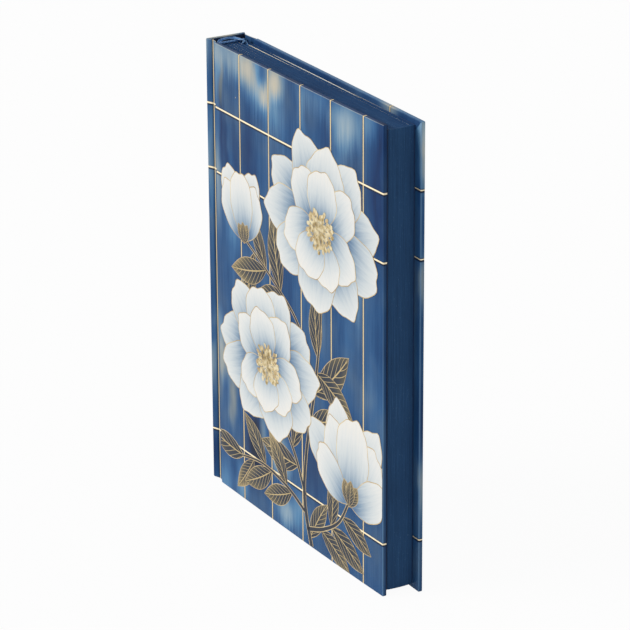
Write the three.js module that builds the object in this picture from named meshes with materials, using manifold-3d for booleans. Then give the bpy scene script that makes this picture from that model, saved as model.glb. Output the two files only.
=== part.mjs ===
// A hardcover diary, standing on its tail: case, endpapers, sewn text block, bands and ribbon marker.
// Millimetres, +Z up. The front cover faces -Y, the spine -X and the fore-edge +X.
// Shapes are drawn in the plan (x, y) with x from the spine's outer face and y from the front face.
import * as THREE from 'three';
import { mergeVertices } from 'three/addons/utils/BufferGeometryUtils.js';
import Module from 'manifold-3d';

const wasm = await Module();
wasm.setup();

// Case
const coverHeight = 216;         // head to tail of the boards and the spine
const spineWidth = 20.4;         // front face to back face, measured at the spine
const boardWidth = 144.8;
const boardThickness = 1.6;      // greyboard
const spineBoardThickness = 1.7;
const paperThickness = 0.2;      // printed cover paper
const glueLine = 0.05;           // clearance of two bonded faces
const turnInWidth = 15;          // paper folded in over head, tail and fore-edge
const edgeRadius = 0.5;          // rounding of the covered boards' edges
const spineShoulder = 1.0;       // rounding of the spine's long edges
const frontInset = 1.8;          // how far the front cover leans in at the fore-edge
const backInset = 1.3;

// French grooves between the spine and the boards
const creaseX = 4.1;             // the groove's deepest line
const creaseDepth = 1.75;
const frontStripWidth = 4.6;     // crease to board
const backStripWidth = 8.6;
const stripRise = 0.8;           // the strip's rise from the crease to the board
const foldClearance = 0.2;       // gap on each side of a fold line

// Endpapers
const endpaperThickness = 0.15;
const leafGap = 0.15;

// Text block
const pageWidth = 147.9;
const square = 2.5;              // overhang of the case at head and tail
const blockSpineX = 5.9;
const signatureCount = 8;
const signatureGap = 0.12;
const foreEdgeBulge = 0.5;       // the fore-edge is slightly convex
const markerSlot = 0.3;          // extra room for the ribbon between the last two signatures
const flyleafSetback = 1.0;      // flyleaves start this far from the folds' centres

// Linings, bands and marker
const mullThickness = 0.2;
const mullFlapWidth = 22;
const liningThickness = 0.2;
const liningGap = 0.15;
const spineMargin = 0.4;         // mull stops short of the block's faces by this
const beadRadius = 0.6;
const bandSkirt = 9;             // glued depth of the band below its bead
const bandThickness = 0.3;
const ribbonWidth = 5;
const ribbonThickness = 0.2;
const ribbonAnchorLength = 27;
const ribbonTailEnd = 12;        // height of the ribbon's lower end

// Depths below a cover's outer face
const boardDepth = paperThickness + glueLine;
const panelDepth = boardDepth + boardThickness + glueLine + paperThickness;
const pastedownDepth = panelDepth + glueLine;
const flyleafDepth = pastedownDepth + endpaperThickness + leafGap;
const blockDepth = flyleafDepth + endpaperThickness + leafGap;

const panelWidth = boardWidth + 2 * boardDepth;
const pageBottom = square;
const pageHeight = coverHeight - 2 * square;
const blockForeX = blockSpineX + pageWidth;

// One side of the case: plan coordinates from x and the depth below the outer face
function makeSide({ stripWidth, inset, mirrored }) {
  const start = creaseX + stripWidth;
  const end = start + panelWidth;
  const slope = inset / panelWidth;
  const y = (x, depth) => {
    const inward = depth + slope * Math.max(0, x - start);
    return mirrored ? spineWidth - inward : inward;
  };
  return { start, end, y };
}

const front = makeSide({ stripWidth: frontStripWidth, inset: frontInset, mirrored: false });
const back = makeSide({ stripWidth: backStripWidth, inset: backInset, mirrored: true });
const sides = [['front', front], ['back', back]];

const paint = (color, roughness, metalness = 0) =>
  new THREE.MeshStandardMaterial({ color, roughness, metalness });
const materials = {
  coverPaper: paint(0x35598f, 0.55),
  greyboard: paint(0x8d8a80, 0.9),
  endpaper: paint(0x24426b, 0.75),
  pages: paint(0x2a466f, 0.8),
  mull: paint(0xd9d2bf, 0.95),
  kraft: paint(0xb39a72, 0.9),
  band: paint(0x5f8fc4, 0.7),
  satin: paint(0x6fa3d0, 0.35),
};

const book = new THREE.Group();
book.position.set(-back.end / 2, -spineWidth / 2, 0);

function addMesh(name, geometry, material) {
  const mesh = new THREE.Mesh(geometry, material);
  mesh.name = name;
  book.add(mesh);
  return mesh;
}

// Plan shapes

// A closed outline through [x, y, radius] corners, each rounded by its radius
function outline(corners) {
  const shape = new THREE.Shape();
  const count = corners.length;
  const points = corners.map(([x, y]) => new THREE.Vector2(x, y));
  corners.forEach(([, , radius = 0], i) => {
    const corner = points[i];
    const before = points[(i + count - 1) % count].clone().sub(corner).setLength(radius || 1);
    const after = points[(i + 1) % count].clone().sub(corner).setLength(radius || 1);
    const from = radius ? corner.clone().add(before) : corner;
    if (i === 0) shape.moveTo(from.x, from.y);
    else shape.lineTo(from.x, from.y);
    if (radius) {
      const to = corner.clone().add(after);
      shape.quadraticCurveTo(corner.x, corner.y, to.x, to.y);
    }
  });
  shape.closePath();
  return shape;
}

// The plan of a flat layer in a cover, between two x and two depths
function layer(side, x0, x1, depth0, depth1, radius = 0) {
  return outline([
    [x0, side.y(x0, depth0), radius],
    [x1, side.y(x1, depth0), radius],
    [x1, side.y(x1, depth1)],
    [x0, side.y(x0, depth1)],
  ]);
}

// Raises a plan shape from z0 to z1, with its head and tail edges rounded by a radius
function raise(shape, z0, z1, radius = 0) {
  const geometry = new THREE.ExtrudeGeometry(shape, {
    depth: z1 - z0 - 2 * radius,
    curveSegments: 4,
    bevelEnabled: radius > 0,
    bevelThickness: radius,
    bevelSize: radius,
    bevelOffset: -radius,
    bevelSegments: 3,
  });
  return geometry.translate(0, 0, z0 + radius);
}

// Booleans
function toSolid(geometry) {
  const bare = geometry.clone();
  bare.deleteAttribute('normal');
  bare.deleteAttribute('uv');
  const merged = mergeVertices(bare, 1e-5);
  return new wasm.Manifold(new wasm.Mesh({
    numProp: 3,
    vertProperties: new Float32Array(merged.attributes.position.array),
    triVerts: new Uint32Array(merged.index.array),
  }));
}

function toGeometry(solid) {
  const mesh = solid.getMesh();
  const geometry = new THREE.BufferGeometry();
  geometry.setAttribute('position', new THREE.BufferAttribute(new Float32Array(mesh.vertProperties), 3));
  geometry.setIndex(new THREE.BufferAttribute(new Uint32Array(mesh.triVerts), 1));
  geometry.computeVertexNormals();
  return geometry;
}

const subtract = (base, ...cuts) => cuts.reduce((solid, cut) => solid.subtract(toSolid(cut)), base);
const join = (base, ...extras) => extras.reduce((solid, extra) => solid.add(toSolid(extra)), base);

// Covers: a greyboard in a printed paper wrap that is turned in on three sides and open inside
function addCover(name, side) {
  const boardStart = side.start + boardDepth;
  const boardEnd = boardStart + boardWidth;
  const boardBack = boardDepth + boardThickness;
  const boardPlan = layer(side, boardStart, boardEnd, boardDepth, boardBack);
  addMesh(`${name}_board`, raise(boardPlan, boardDepth, coverHeight - boardDepth), materials.greyboard);

  const panelPlan = layer(side, side.start, side.end, 0, panelDepth, 2 * edgeRadius);
  const pocketPlan = layer(side, boardStart - glueLine, boardEnd + glueLine,
    paperThickness, boardBack + glueLine);
  const windowPlan = layer(side, side.start - 1, side.end - turnInWidth, boardBack, panelDepth + 1);
  const wrap = subtract(
    toSolid(raise(panelPlan, 0, coverHeight, edgeRadius)),
    raise(pocketPlan, paperThickness, coverHeight - paperThickness),
    raise(windowPlan, turnInWidth, coverHeight - turnInWidth),
  );
  addMesh(`${name}_cover_paper`, toGeometry(wrap), materials.coverPaper);

  const flapPlan = layer(side, boardStart + 0.3, boardStart + mullFlapWidth,
    boardBack + glueLine / 2, boardBack + glueLine / 2 + 0.6 * mullThickness);
  const flapMargin = turnInWidth + 1;
  addMesh(`${name}_mull_flap`, raise(flapPlan, flapMargin, coverHeight - flapMargin), materials.mull);

  const pastedownPlan = layer(side, side.start + foldClearance, side.end - 2 * square,
    pastedownDepth, pastedownDepth + endpaperThickness);
  addMesh(`${name}_pastedown`, raise(pastedownPlan, pageBottom, pageBottom + pageHeight), materials.endpaper);
}

// Joint strips: the cover paper between the crease and the board, free to fold at both edges
function addJointStrip(name, side) {
  const x0 = creaseX + foldClearance;
  const x1 = side.start - foldClearance;
  const endDepth = creaseDepth - stripRise;
  const plan = outline([
    [x0, side.y(x0, creaseDepth)],
    [x1, side.y(x1, endDepth)],
    [x1, side.y(x1, endDepth + paperThickness)],
    [x0, side.y(x0, creaseDepth + paperThickness)],
  ]);
  addMesh(`${name}_joint_strip`, raise(plan, 0, coverHeight), materials.coverPaper);
}

// Spine: a greyboard strip wrapped in the same paper, which runs on to both creases
function addSpine() {
  const boardX0 = boardDepth;
  const boardX1 = boardX0 + spineBoardThickness;
  const boardInset = spineShoulder + boardDepth / 2;
  const boardPlan = outline([
    [boardX0, boardInset, edgeRadius], [boardX0, spineWidth - boardInset, edgeRadius],
    [boardX1, spineWidth - boardInset], [boardX1, boardInset],
  ]);
  addMesh('spine_board', raise(boardPlan, boardDepth, coverHeight - boardDepth), materials.greyboard);

  const wrapX1 = boardX1 + glueLine + paperThickness;
  const wingDepth = (x) => (creaseDepth * x) / creaseX;
  const wingEnd = creaseX - foldClearance;
  const shellPlan = outline([
    [0, 0, spineShoulder], [wrapX1, wingDepth(wrapX1)],
    [wrapX1, spineWidth - wingDepth(wrapX1)], [0, spineWidth, spineShoulder],
  ]);
  const pocketPlan = outline([
    [boardX0 - glueLine, boardInset - glueLine, edgeRadius],
    [boardX0 - glueLine, spineWidth - boardInset + glueLine, edgeRadius],
    [boardX1 + glueLine, spineWidth - boardInset + glueLine],
    [boardX1 + glueLine, boardInset - glueLine],
  ]);
  const windowPlan = outline([
    [boardX1, boardInset], [boardX1, spineWidth - boardInset],
    [wrapX1 + 1, spineWidth - boardInset], [wrapX1 + 1, boardInset],
  ]);
  const wingPlan = (y) => outline([
    [spineShoulder, y(wingDepth(spineShoulder))], [wingEnd, y(wingDepth(wingEnd))],
    [wingEnd, y(wingDepth(wingEnd) + paperThickness)],
    [spineShoulder, y(wingDepth(spineShoulder) + paperThickness)],
  ]);
  const shell = subtract(
    toSolid(raise(shellPlan, 0, coverHeight, edgeRadius / 2)),
    raise(pocketPlan, paperThickness, coverHeight - paperThickness),
    raise(windowPlan, turnInWidth, coverHeight - turnInWidth),
  );
  const wrap = join(
    shell,
    raise(wingPlan((depth) => depth), 0, coverHeight),
    raise(wingPlan((depth) => spineWidth - depth), 0, coverHeight),
  );
  addMesh('spine_cover_paper', toGeometry(wrap), materials.coverPaper);
}

// Text block: folded signatures, each with a round fold at the spine and a flat taper to the fore-edge

const blockFront = (x) => front.y(x, blockDepth);
const blockBack = (x) => back.y(x, blockDepth);
const foreEdgeX = (share) => blockForeX - foreEdgeBulge * (2 * share - 1) ** 2;

// The y of the line between two signatures, counted from the front
function signatureLine(x, index) {
  const usable = blockBack(x) - blockFront(x) - markerSlot;
  const slot = index === signatureCount ? markerSlot : 0;
  return blockFront(x) + (usable * index) / signatureCount + slot;
}

// The same line on the front side of a signature, which for the last one starts past the marker's slot
const signatureFront = (x, index) =>
  signatureLine(x, index) + (index === signatureCount - 1 ? markerSlot : 0) + signatureGap / 2;
const signatureBack = (x, index) => signatureLine(x, index + 1) - signatureGap / 2;

function foldCentre(index) {
  const y0 = signatureFront(blockSpineX, index);
  const y1 = signatureBack(blockSpineX, index);
  const radius = (y1 - y0) / 2;
  return { x: blockSpineX + radius, y: (y0 + y1) / 2, radius };
}

function addSignature(index) {
  const fold = foldCentre(index);
  const foreFront = foreEdgeX(index / signatureCount);
  const foreBack = foreEdgeX((index + 1) / signatureCount);
  const plan = new THREE.Shape();
  plan.moveTo(foreFront, signatureFront(foreFront, index));
  plan.lineTo(foreBack, signatureBack(foreBack, index));
  plan.lineTo(fold.x, fold.y + fold.radius);
  plan.absarc(fold.x, fold.y, fold.radius, Math.PI / 2, 1.5 * Math.PI, false);
  plan.closePath();
  const name = `signature_${String(index + 1).padStart(2, '0')}`;
  addMesh(name, raise(plan, pageBottom, pageBottom + pageHeight), materials.pages);
}

// Flyleaves: the free halves of the endpapers, tipped to the outer signatures beside the fold
function addFlyleaf(name, side) {
  const x0 = foldCentre(0).x + flyleafSetback;
  const x1 = foreEdgeX(0);
  const plan = layer(side, x0, x1, flyleafDepth, flyleafDepth + endpaperThickness);
  addMesh(`${name}_flyleaf`, raise(plan, pageBottom, pageBottom + pageHeight), materials.endpaper);
}

// Block linings: gauze glued to the folds and a kraft strip over it
const mullX = blockSpineX - liningGap - mullThickness;
const liningX = mullX - liningGap - liningThickness;
const spineFrontY = blockFront(blockSpineX) + spineMargin;
const spineBackY = blockBack(blockSpineX) - spineMargin;

function addSpinePlate(name, x, thickness, margin, material) {
  const plan = outline([
    [x, spineFrontY], [x + thickness, spineFrontY], [x + thickness, spineBackY], [x, spineBackY],
  ]);
  addMesh(name, raise(plan, pageBottom + margin, pageBottom + pageHeight - margin), material);
}

// Bands: a woven bead over the folds at head and tail, on a skirt glued to the lining
function addBand(name, atHead) {
  const skirtX = liningX - liningGap - bandThickness;
  const beadX = skirtX + beadRadius;
  const section = new THREE.Shape();
  section.moveTo(skirtX + bandThickness, -bandSkirt);
  section.lineTo(skirtX + bandThickness, 0);
  section.absarc(beadX, beadRadius, beadRadius, -Math.PI / 3, Math.PI, false);
  section.lineTo(skirtX, -bandSkirt);
  section.closePath();
  const length = spineBackY - spineFrontY;
  const geometry = new THREE.ExtrudeGeometry(section, {
    depth: length, curveSegments: 10, bevelEnabled: false,
  });
  geometry.rotateX(Math.PI / 2);
  if (!atHead) geometry.rotateX(Math.PI).translate(0, -length, 0);
  const edge = atHead ? pageBottom + pageHeight : pageBottom;
  geometry.translate(0, spineBackY, edge);
  addMesh(name, geometry, materials.band);
}

// Ribbon marker: a strip through stations [x, y, z, turn]; turn is the angle of its width from X, in plan
function ribbonStrip(stations) {
  const points = stations.map(([x, y, z]) => new THREE.Vector3(x, y, z));
  const positions = [];
  points.forEach((point, i) => {
    const along = points[Math.min(i + 1, points.length - 1)].clone().sub(points[Math.max(i - 1, 0)]);
    const angle = THREE.MathUtils.degToRad(stations[i][3]);
    const across = new THREE.Vector3(Math.cos(angle), Math.sin(angle), 0);
    const through = along.cross(across).setLength(ribbonThickness / 2);
    [[-1, -1], [1, -1], [1, 1], [-1, 1]].forEach(([u, v]) => {
      const corner = point.clone().addScaledVector(across, (u * ribbonWidth) / 2).addScaledVector(through, v);
      positions.push(corner.x, corner.y, corner.z);
    });
  });
  const last = 4 * (points.length - 1);
  const index = [0, 2, 1, 0, 3, 2, last, last + 1, last + 2, last, last + 2, last + 3];
  for (let start = 0; start < last; start += 4) {
    for (let k = 0; k < 4; k++) {
      const a = start + k;
      const b = start + ((k + 1) % 4);
      index.push(a, b, b + 4, a, b + 4, a + 4);
    }
  }
  const geometry = new THREE.BufferGeometry();
  geometry.setAttribute('position', new THREE.BufferAttribute(new Float32Array(positions), 3));
  geometry.setIndex(index);
  return geometry;
}

// The glued end runs up the lining; the free part twists over the head band and down into the pages
function addRibbon() {
  const head = pageBottom + pageHeight;
  const slotX = foldCentre(0).x + foldClearance + ribbonWidth / 2;
  const slotY = (signatureBack(slotX, signatureCount - 2) + signatureFront(slotX, signatureCount - 1)) / 2;
  const anchorX = liningX - 2 * liningGap - bandThickness - ribbonThickness / 2;
  const anchorY = spineFrontY + ribbonWidth / 2;
  const beadTop = head + 2 * beadRadius;
  addMesh('ribbon_anchor', ribbonStrip([
    [anchorX, anchorY, head - ribbonAnchorLength, 90],
    [anchorX - 0.1, anchorY, head + 0.8, 90],
    [anchorX - 0.1, anchorY + 0.3, beadTop + 0.25, 92],
    [anchorX + 0.1, anchorY + 1.2, beadTop + 0.75, 112],
    [anchorX + 0.8, anchorY + 3.5, beadTop + 1.1, 145],
    [anchorX + 2.0, anchorY + 6.8, beadTop + 1.1, 160],
    [slotX - 1.2, slotY - 1.4, beadTop + 0.8, 168],
    [slotX - 0.2, slotY - 0.1, head + 1.1, 178],
    [slotX, slotY, head + 0.3, 180],
  ]), materials.satin);
  addMesh('ribbon_tail', ribbonStrip([
    [slotX, slotY, ribbonTailEnd, 0],
    [slotX, slotY, head, 0],
  ]), materials.satin);
}

addSpine();
sides.forEach(([name, side]) => {
  addCover(name, side);
  addJointStrip(name, side);
  addFlyleaf(name, side);
});
for (let index = 0; index < signatureCount; index++) addSignature(index);
addSpinePlate('spine_mull', mullX, mullThickness, turnInWidth, materials.mull);
addSpinePlate('spine_lining', liningX, liningThickness, bandSkirt / 2, materials.kraft);
addBand('head_band', true);
addBand('tail_band', false);
addRibbon();

export default book;
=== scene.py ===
import math
import random

import bmesh
import bpy
from mathutils import Matrix, Vector
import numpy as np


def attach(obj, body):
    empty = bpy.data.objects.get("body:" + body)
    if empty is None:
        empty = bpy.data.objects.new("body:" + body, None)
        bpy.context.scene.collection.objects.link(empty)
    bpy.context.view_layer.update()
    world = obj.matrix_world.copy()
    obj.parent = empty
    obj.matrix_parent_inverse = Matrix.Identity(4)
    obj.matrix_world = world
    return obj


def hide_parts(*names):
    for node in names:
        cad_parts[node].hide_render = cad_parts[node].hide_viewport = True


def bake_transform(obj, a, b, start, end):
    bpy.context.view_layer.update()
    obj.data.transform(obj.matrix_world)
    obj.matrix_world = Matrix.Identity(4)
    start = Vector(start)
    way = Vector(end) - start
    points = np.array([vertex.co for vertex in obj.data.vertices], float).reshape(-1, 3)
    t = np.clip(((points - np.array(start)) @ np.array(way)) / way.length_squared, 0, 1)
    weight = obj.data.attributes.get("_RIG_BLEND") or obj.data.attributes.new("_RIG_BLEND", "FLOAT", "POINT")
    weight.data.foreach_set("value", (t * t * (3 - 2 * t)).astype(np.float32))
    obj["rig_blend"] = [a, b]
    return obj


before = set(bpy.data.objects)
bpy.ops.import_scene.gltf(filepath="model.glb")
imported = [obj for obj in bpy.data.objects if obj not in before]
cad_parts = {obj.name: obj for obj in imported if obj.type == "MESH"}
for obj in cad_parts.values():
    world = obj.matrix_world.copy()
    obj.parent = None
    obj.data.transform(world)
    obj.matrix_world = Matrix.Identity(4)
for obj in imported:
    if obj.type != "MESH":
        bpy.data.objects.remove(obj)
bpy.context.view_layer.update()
scene = bpy.context.scene


# Camera
# A long lens off the fore-edge, a little above the head, at the photograph's angle. Its place was
# fitted to the book's corners, edges and gold lines.
camera_data = bpy.data.cameras.new("camera")
camera_data.sensor_width = 36
camera_data.lens = 184.67
camera_data.clip_start = 0.05
camera = bpy.data.objects.new("camera", camera_data)
scene.collection.objects.link(camera)
scene.camera = camera

camera_place = (1.1704, -0.66665, 0.61916)
yaw, pitch, roll = math.radians(150.291), math.radians(20.863), math.radians(-0.336)
forward = Vector((math.cos(pitch) * math.cos(yaw), math.cos(pitch) * math.sin(yaw), -math.sin(pitch)))
rightward = Vector((math.sin(yaw), -math.cos(yaw), 0))
upward = rightward.cross(forward)
turn = Matrix((rightward, upward, -forward)).transposed() @ Matrix.Rotation(roll, 3, "Z")
camera.matrix_world = Matrix.Translation(camera_place) @ turn.to_4x4()


# Greyboards
# Two cover boards and a narrow spine board, guillotined from pressed grey pulp, matt and speckled.
# The cover boards bow in towards the block at the fore-edge, because the paper pulls as it dries.
def srgb(code):
    """A colour written as a hex code, made linear."""
    parts = [int(code[i:i + 2], 16) / 255 for i in (0, 2, 4)]
    return tuple(p / 12.92 if p <= 0.04045 else ((p + 0.055) / 1.055) ** 2.4 for p in parts) + (1.0,)


def add_node(kind, settings=None, **inputs):
    """Adds a node to the tree that is being made, with its settings, values and links.

    i0 and i1 name inputs by number. A colour ramp's stops are a setting too, as (position, hex) pairs.
    """
    made = tree.nodes.new("ShaderNode" + kind)
    for name, value in (settings or {}).items():
        if name == "stops":
            elements = made.color_ramp.elements
            while len(elements) > 1:
                elements.remove(elements[-1])
            elements[0].position, elements[0].color = value[0][0], srgb(value[0][1])
            for position, code in value[1:]:
                elements.new(position).color = srgb(code)
        else:
            setattr(made, name, value)
    for key, value in inputs.items():
        numbered = key[0] == "i" and key[1:].isdigit()
        socket = made.inputs[int(key[1:])] if numbered else made.inputs[key.replace("_", " ")]
        if isinstance(value, bpy.types.NodeSocket):
            tree.links.new(value, socket)
        else:
            socket.default_value = value
    return made


def start_material(name, **values):
    """Starts a material, with its plain values on the shader. The helpers below go on with it."""
    material = bpy.data.materials.new(name)
    material.use_nodes = True
    shader = material.node_tree.nodes["Principled BSDF"]
    for key, value in values.items():
        shader.inputs[key.replace("_", " ")].default_value = value
    return material, material.node_tree, shader


def colour_by(value, stops):
    """Colours the material by a value, through a ramp."""
    colour = add_node("ValToRGB", {"stops": stops}, Fac=value).outputs["Color"]
    tree.links.new(colour, shader.inputs["Base Color"])


def tint(share, colour):
    """Lays a colour over the material's own, by a share from 0 to 1."""
    below = shader.inputs["Base Color"].links[0].from_socket
    mixed = add_node("Mix", {"data_type": "RGBA"}, Factor=share, A=below, B=colour).outputs["Result"]
    tree.links.new(mixed, shader.inputs["Base Color"])


def emboss(height, strength):
    """Raises and lowers the surface a little with a pattern."""
    bump = add_node("Bump", Height=height, Strength=strength, Distance=0.0001)
    tree.links.new(bump.outputs["Normal"], shader.inputs["Normal"])


def make_noise(space, stretch=None, **values):
    """The value of a noise in a space, which may be stretched first."""
    if stretch:
        space = add_node("Mapping", i0=space, Scale=stretch).outputs[0]
        values["Scale"] = 1
    return add_node("TexNoise", Vector=space, **values).outputs["Fac"]


def colour_by_noise(stops, raised=0, **values):
    """Colours the material by a fine noise in the object's space, which may also raise its surface."""
    place = add_node("TexCoord").outputs["Object"]
    fibres = make_noise(place, **values)
    colour_by(fibres, stops)
    if raised:
        emboss(fibres, raised)
    return place


def dress(node_name, material):
    """Gives a solid of the frame a material in all its slots."""
    for material_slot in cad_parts[node_name].material_slots:
        material_slot.material = material


# New pieces are made in book millimetres: x runs from the spine to the fore-edge, y from the front
# cover to the back one, and z up from the tail. to_frame takes them to their place in the frame.
head, case_width, spine_width = 216.0, 158.0, 20.4
to_frame = Matrix.Scale(0.001, 4) @ Matrix.Translation((-case_width / 2, -spine_width / 2, 0))


def slice_all(bm, point, direction, **more):
    """Cuts through all of a mesh along a plane."""
    everything = bm.verts[:] + bm.edges[:] + bm.faces[:]
    bmesh.ops.bisect_plane(bm, geom=everything, dist=1e-5, plane_co=point, plane_no=direction, **more)


class Side:
    """One cover: where it starts and ends along the page, and how it bows in towards the fore-edge."""

    def __init__(self, name, start, end, lean, bow, mirrored):
        self.name, self.start, self.end = name, start, end
        self.lean, self.bow, self.mirrored = lean, bow, mirrored

    def y(self, x, depth):
        """The y of a point that lies so deep below the cover's outer face."""
        share = max(0.0, (x - self.start) / (self.end - self.start))
        inward = depth + self.lean * share + self.bow * share ** 3
        return spine_width - inward if self.mirrored else inward

    def cut(self, bm, strips=14):
        """Cuts a flat piece across into narrow strips, so that it can bow."""
        for i in range(1, strips):
            slice_all(bm, (self.start + (self.end - self.start) * i / strips, 0, 0), (1, 0, 0))

    def bend(self, bm):
        """Bows a flat piece; until then y holds the depth below the outer face."""
        self.cut(bm)
        for vert in bm.verts:
            vert.co.y = self.y(vert.co.x, vert.co.y)
        if self.mirrored:
            bmesh.ops.reverse_faces(bm, faces=bm.faces[:])


front = Side("front", 8.7, 154.0, 0.12, 1.70, False)
back = Side("back", 12.7, 158.0, 0.13, 0.45, True)


def add_box(bm, low, high):
    """A box between two corners."""
    low, high = Vector(low), Vector(high)
    centre = Matrix.Translation((low + high) / 2)
    return bmesh.ops.create_cube(bm, size=1, matrix=centre @ Matrix.Diagonal((*(high - low), 1)))["verts"]


def round_edges(bm, radius, segments):
    """Rounds all edges of a box."""
    bmesh.ops.bevel(
        bm, geom=bm.edges[:], offset=radius, offset_type="OFFSET", segments=segments, profile=0.5,
        affect="EDGES", material=-1,
    )


def finish_piece(name, bm, body, materials, replaced=(), smooth=True, angle=35):
    """Turns a mesh in book millimetres into a piece of the frame that rides on a body."""
    bm.transform(to_frame)
    mesh = bpy.data.meshes.new(name)
    bm.to_mesh(mesh)
    bm.free()
    for material in materials:
        mesh.materials.append(material)
    if smooth:
        mesh.shade_smooth()
        mesh.set_sharp_from_angle(angle=math.radians(angle))
    piece = bpy.data.objects.new(name, mesh)
    scene.collection.objects.link(piece)
    if body:
        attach(piece, body)
    if replaced:
        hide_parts(*replaced)
    return piece


def thicken(piece, thickness, offset=-1.0):
    """Gives a sheet its thickness in millimetres, inwards from the face that shows."""
    modifier = piece.modifiers.new("thickness", "SOLIDIFY")
    modifier.thickness, modifier.offset = thickness / 1000, offset
    modifier.use_even_offset = True
    return modifier


# Greyboard, pressed from waste paper: grey fibre with pale and dark flecks, quite matt
greyboard, tree, shader = start_material("greyboard_pressed_pulp", Roughness=0.95)
colour_by_noise([(0.3, "6E6B63"), (0.5, "8D8A80"), (0.7, "A6A296")], raised=0.3, Scale=900, Detail=4)

paper = 0.2
board_inset, board_thickness, board_round = 0.25, 1.6, 0.25
for side in (front, back):
    bm = bmesh.new()
    add_box(
        bm, (side.start + board_inset, board_inset, board_inset),
        (side.end - board_inset, board_inset + board_thickness, head - board_inset),
    )
    round_edges(bm, board_round, 2)
    side.bend(bm)
    finish_piece(
        f"{side.name}_greyboard", bm, f"{side.name}_cover", [greyboard], [f"{side.name}_board"]
    )
dress("spine_board", greyboard)


# Cover paper
# One printed and laminated sheet wraps spine and boards. Its print is soft washes of blue and beige
# under a grid of gold foil lines, which run on over the edges, the grooves and the spine.
panel_depth = 2.1
turn_in = 15.0
edge_radius = 0.5

# The washes are soft spots on the unfolded sheet: (across, along, half width, half height, tone,
# warmth). Across runs from the front fore-edge over the spine to the back one. Tone makes the ink
# lighter or darker, and warmth turns it from blue to beige.
washes = [
    (22, 213, 15, 10, 0.34, 0.4), (10, 204, 5, 16, 0.20, 0.1), (15.5, 198, 2.0, 12, 0.08, 0.9),
    (14.5, 178, 2.6, 22, -0.20, 0), (18.5, 166, 2, 26, -0.16, 0), (27, 170, 4, 16, -0.10, 0),
    (9.5, 150, 4, 24, 0.34, 0.6), (24, 134, 7, 14, 0.24, 0), (1.2, 160, 4, 32, 0.22, 0.1),
    (1.2, 58, 3, 14, 0.26, 0.4), (1.2, 10, 4, 14, -0.16, 0), (9, 54, 3, 16, 0.14, 0.6),
    (39, 211, 10, 10, 0.54, 1.0), (47, 200, 9, 8, 0.26, 0.1), (49.8, 214, 3.2, 8, 0.06, -0.8),
    (54, 203, 7, 6, 0.34, 0.8), (64, 212, 9, 8, 0.50, 1.0), (62, 199, 9, 12, 0.22, 0),
    (88, 200, 4, 15, 0.14, 0), (98, 214, 14, 9, 0.16, 0), (125, 209, 13, 11, 0.36, 0.35),
    (119, 200, 8, 18, 0.18, 0), (108, 178, 7, 22, -0.14, 0), (132, 172, 8, 20, -0.18, -0.2),
    (38, 170, 7, 24, -0.16, 0), (144, 214, 7, 8, 0.18, 0), (150, 186, 8, 36, -0.26, -0.3),
    (104, 176, 12, 20, 0.06, 0), (135, 138, 4, 20, 0.16, 0), (147, 82, 9, 24, 0.08, 0),
    (13, 66, 8, 11, 0.34, 0.9), (21, 48, 4, 16, 0.30, 1.0), (8, 80, 6, 10, 0.26, 0.3),
    (42, 34, 9, 15, -0.34, 0.5), (42, 16, 11, 9, -0.16, 0), (50, 38, 3, 13, 0.26, 0.4),
    (67, 33, 9, 11, 0.46, 0.5), (69, 8, 9, 8, 0.40, 0.3), (82, 13, 10, 10, 0.22, 0),
    (29, 7, 6, 11, 0.30, 0), (10, 3, 10, 10, 0.22, 0), (96, 40, 12, 16, -0.12, 0),
    (-9, 217, 9, 5, 0.46, 0.8), (-1, 212, 3.5, 10, 0.36, 0.4), (-60, 120, 24, 60, 0.12, 0),
    (-44, 197, 12, 12, 0.42, 0.8), (-92, 202, 13, 8, 0.46, 0.8), (-128, 196, 8, 26, 0.26, 0.2),
    (-104, 90, 12, 44, 0.20, 0.2), (-50, 36, 12, 20, -0.26, 0.2), (-84, 22, 12, 12, 0.44, 0.7),
    (-151, 216.5, 9, 9, 0.56, 0.7), (-150, 60, 10, 40, 0.22, 0.3), (-179.5, 200, 3.2, 22, 0.50, 0.4),
    (-178.5, 146, 2.5, 14, 0.28, 0.4), (-181, 84, 5, 18, -0.14, 0), (-178.5, 50, 2.5, 13, 0.30, 0.4),
    (-70, 168, 12, 22, -0.16, 0), (-181, 211, 4.5, 8, 0.24, -0.3),
]
# The gold lines, by their place across the sheet and along it
uprights = (138.3, 111.9, 86.2, 58.2, 31.8, 4.5, -22.4, -48.4, -74.6, -100.4, -126.2, -152.6)
levels = (185.9, 155.1, 25.1)
foil_width = 0.78

# Laminated offset print: a thin satin film over the ink, so colours stay deep and highlights broad
print_paper, tree, shader = start_material("laminated_printed_paper", Roughness=0.55, Specular_IOR_Level=0.15)


def read_map(name):
    """A piece's own map, and its two measures, in the material that is being made."""
    flat = add_node("UVMap", {"uv_map": name}).outputs["UV"]
    measures = add_node("SeparateXYZ", i0=flat).outputs
    return flat, measures[0], measures[1]


def gather(operation, first, *others):
    """Takes values together one after another: their sum, their product, the largest or the like."""
    for value in others:
        first = add_node("Math", {"operation": operation}, i0=first, i1=value).outputs[0]
    return first


def lessen(share, *values):
    """Takes a share away from each of some values."""
    kept = gather("SUBTRACT", 1.0, share)
    return [gather("MULTIPLY", value, kept) for value in values]


def swing(noise, reach, middle=0.0):
    """Noise stretched to swing over so much, half of it to each side of the middle."""
    stretched = add_node("Math", {"operation": "MULTIPLY_ADD"}, i0=noise, i1=reach, i2=middle - reach / 2)
    return stretched.outputs[0]


def off_line(value, line):
    """How far a value is from a line, to either side."""
    away = gather("SUBTRACT", value, line)
    return add_node("Math", {"operation": "ABSOLUTE"}, i0=away).outputs[0]


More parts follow.
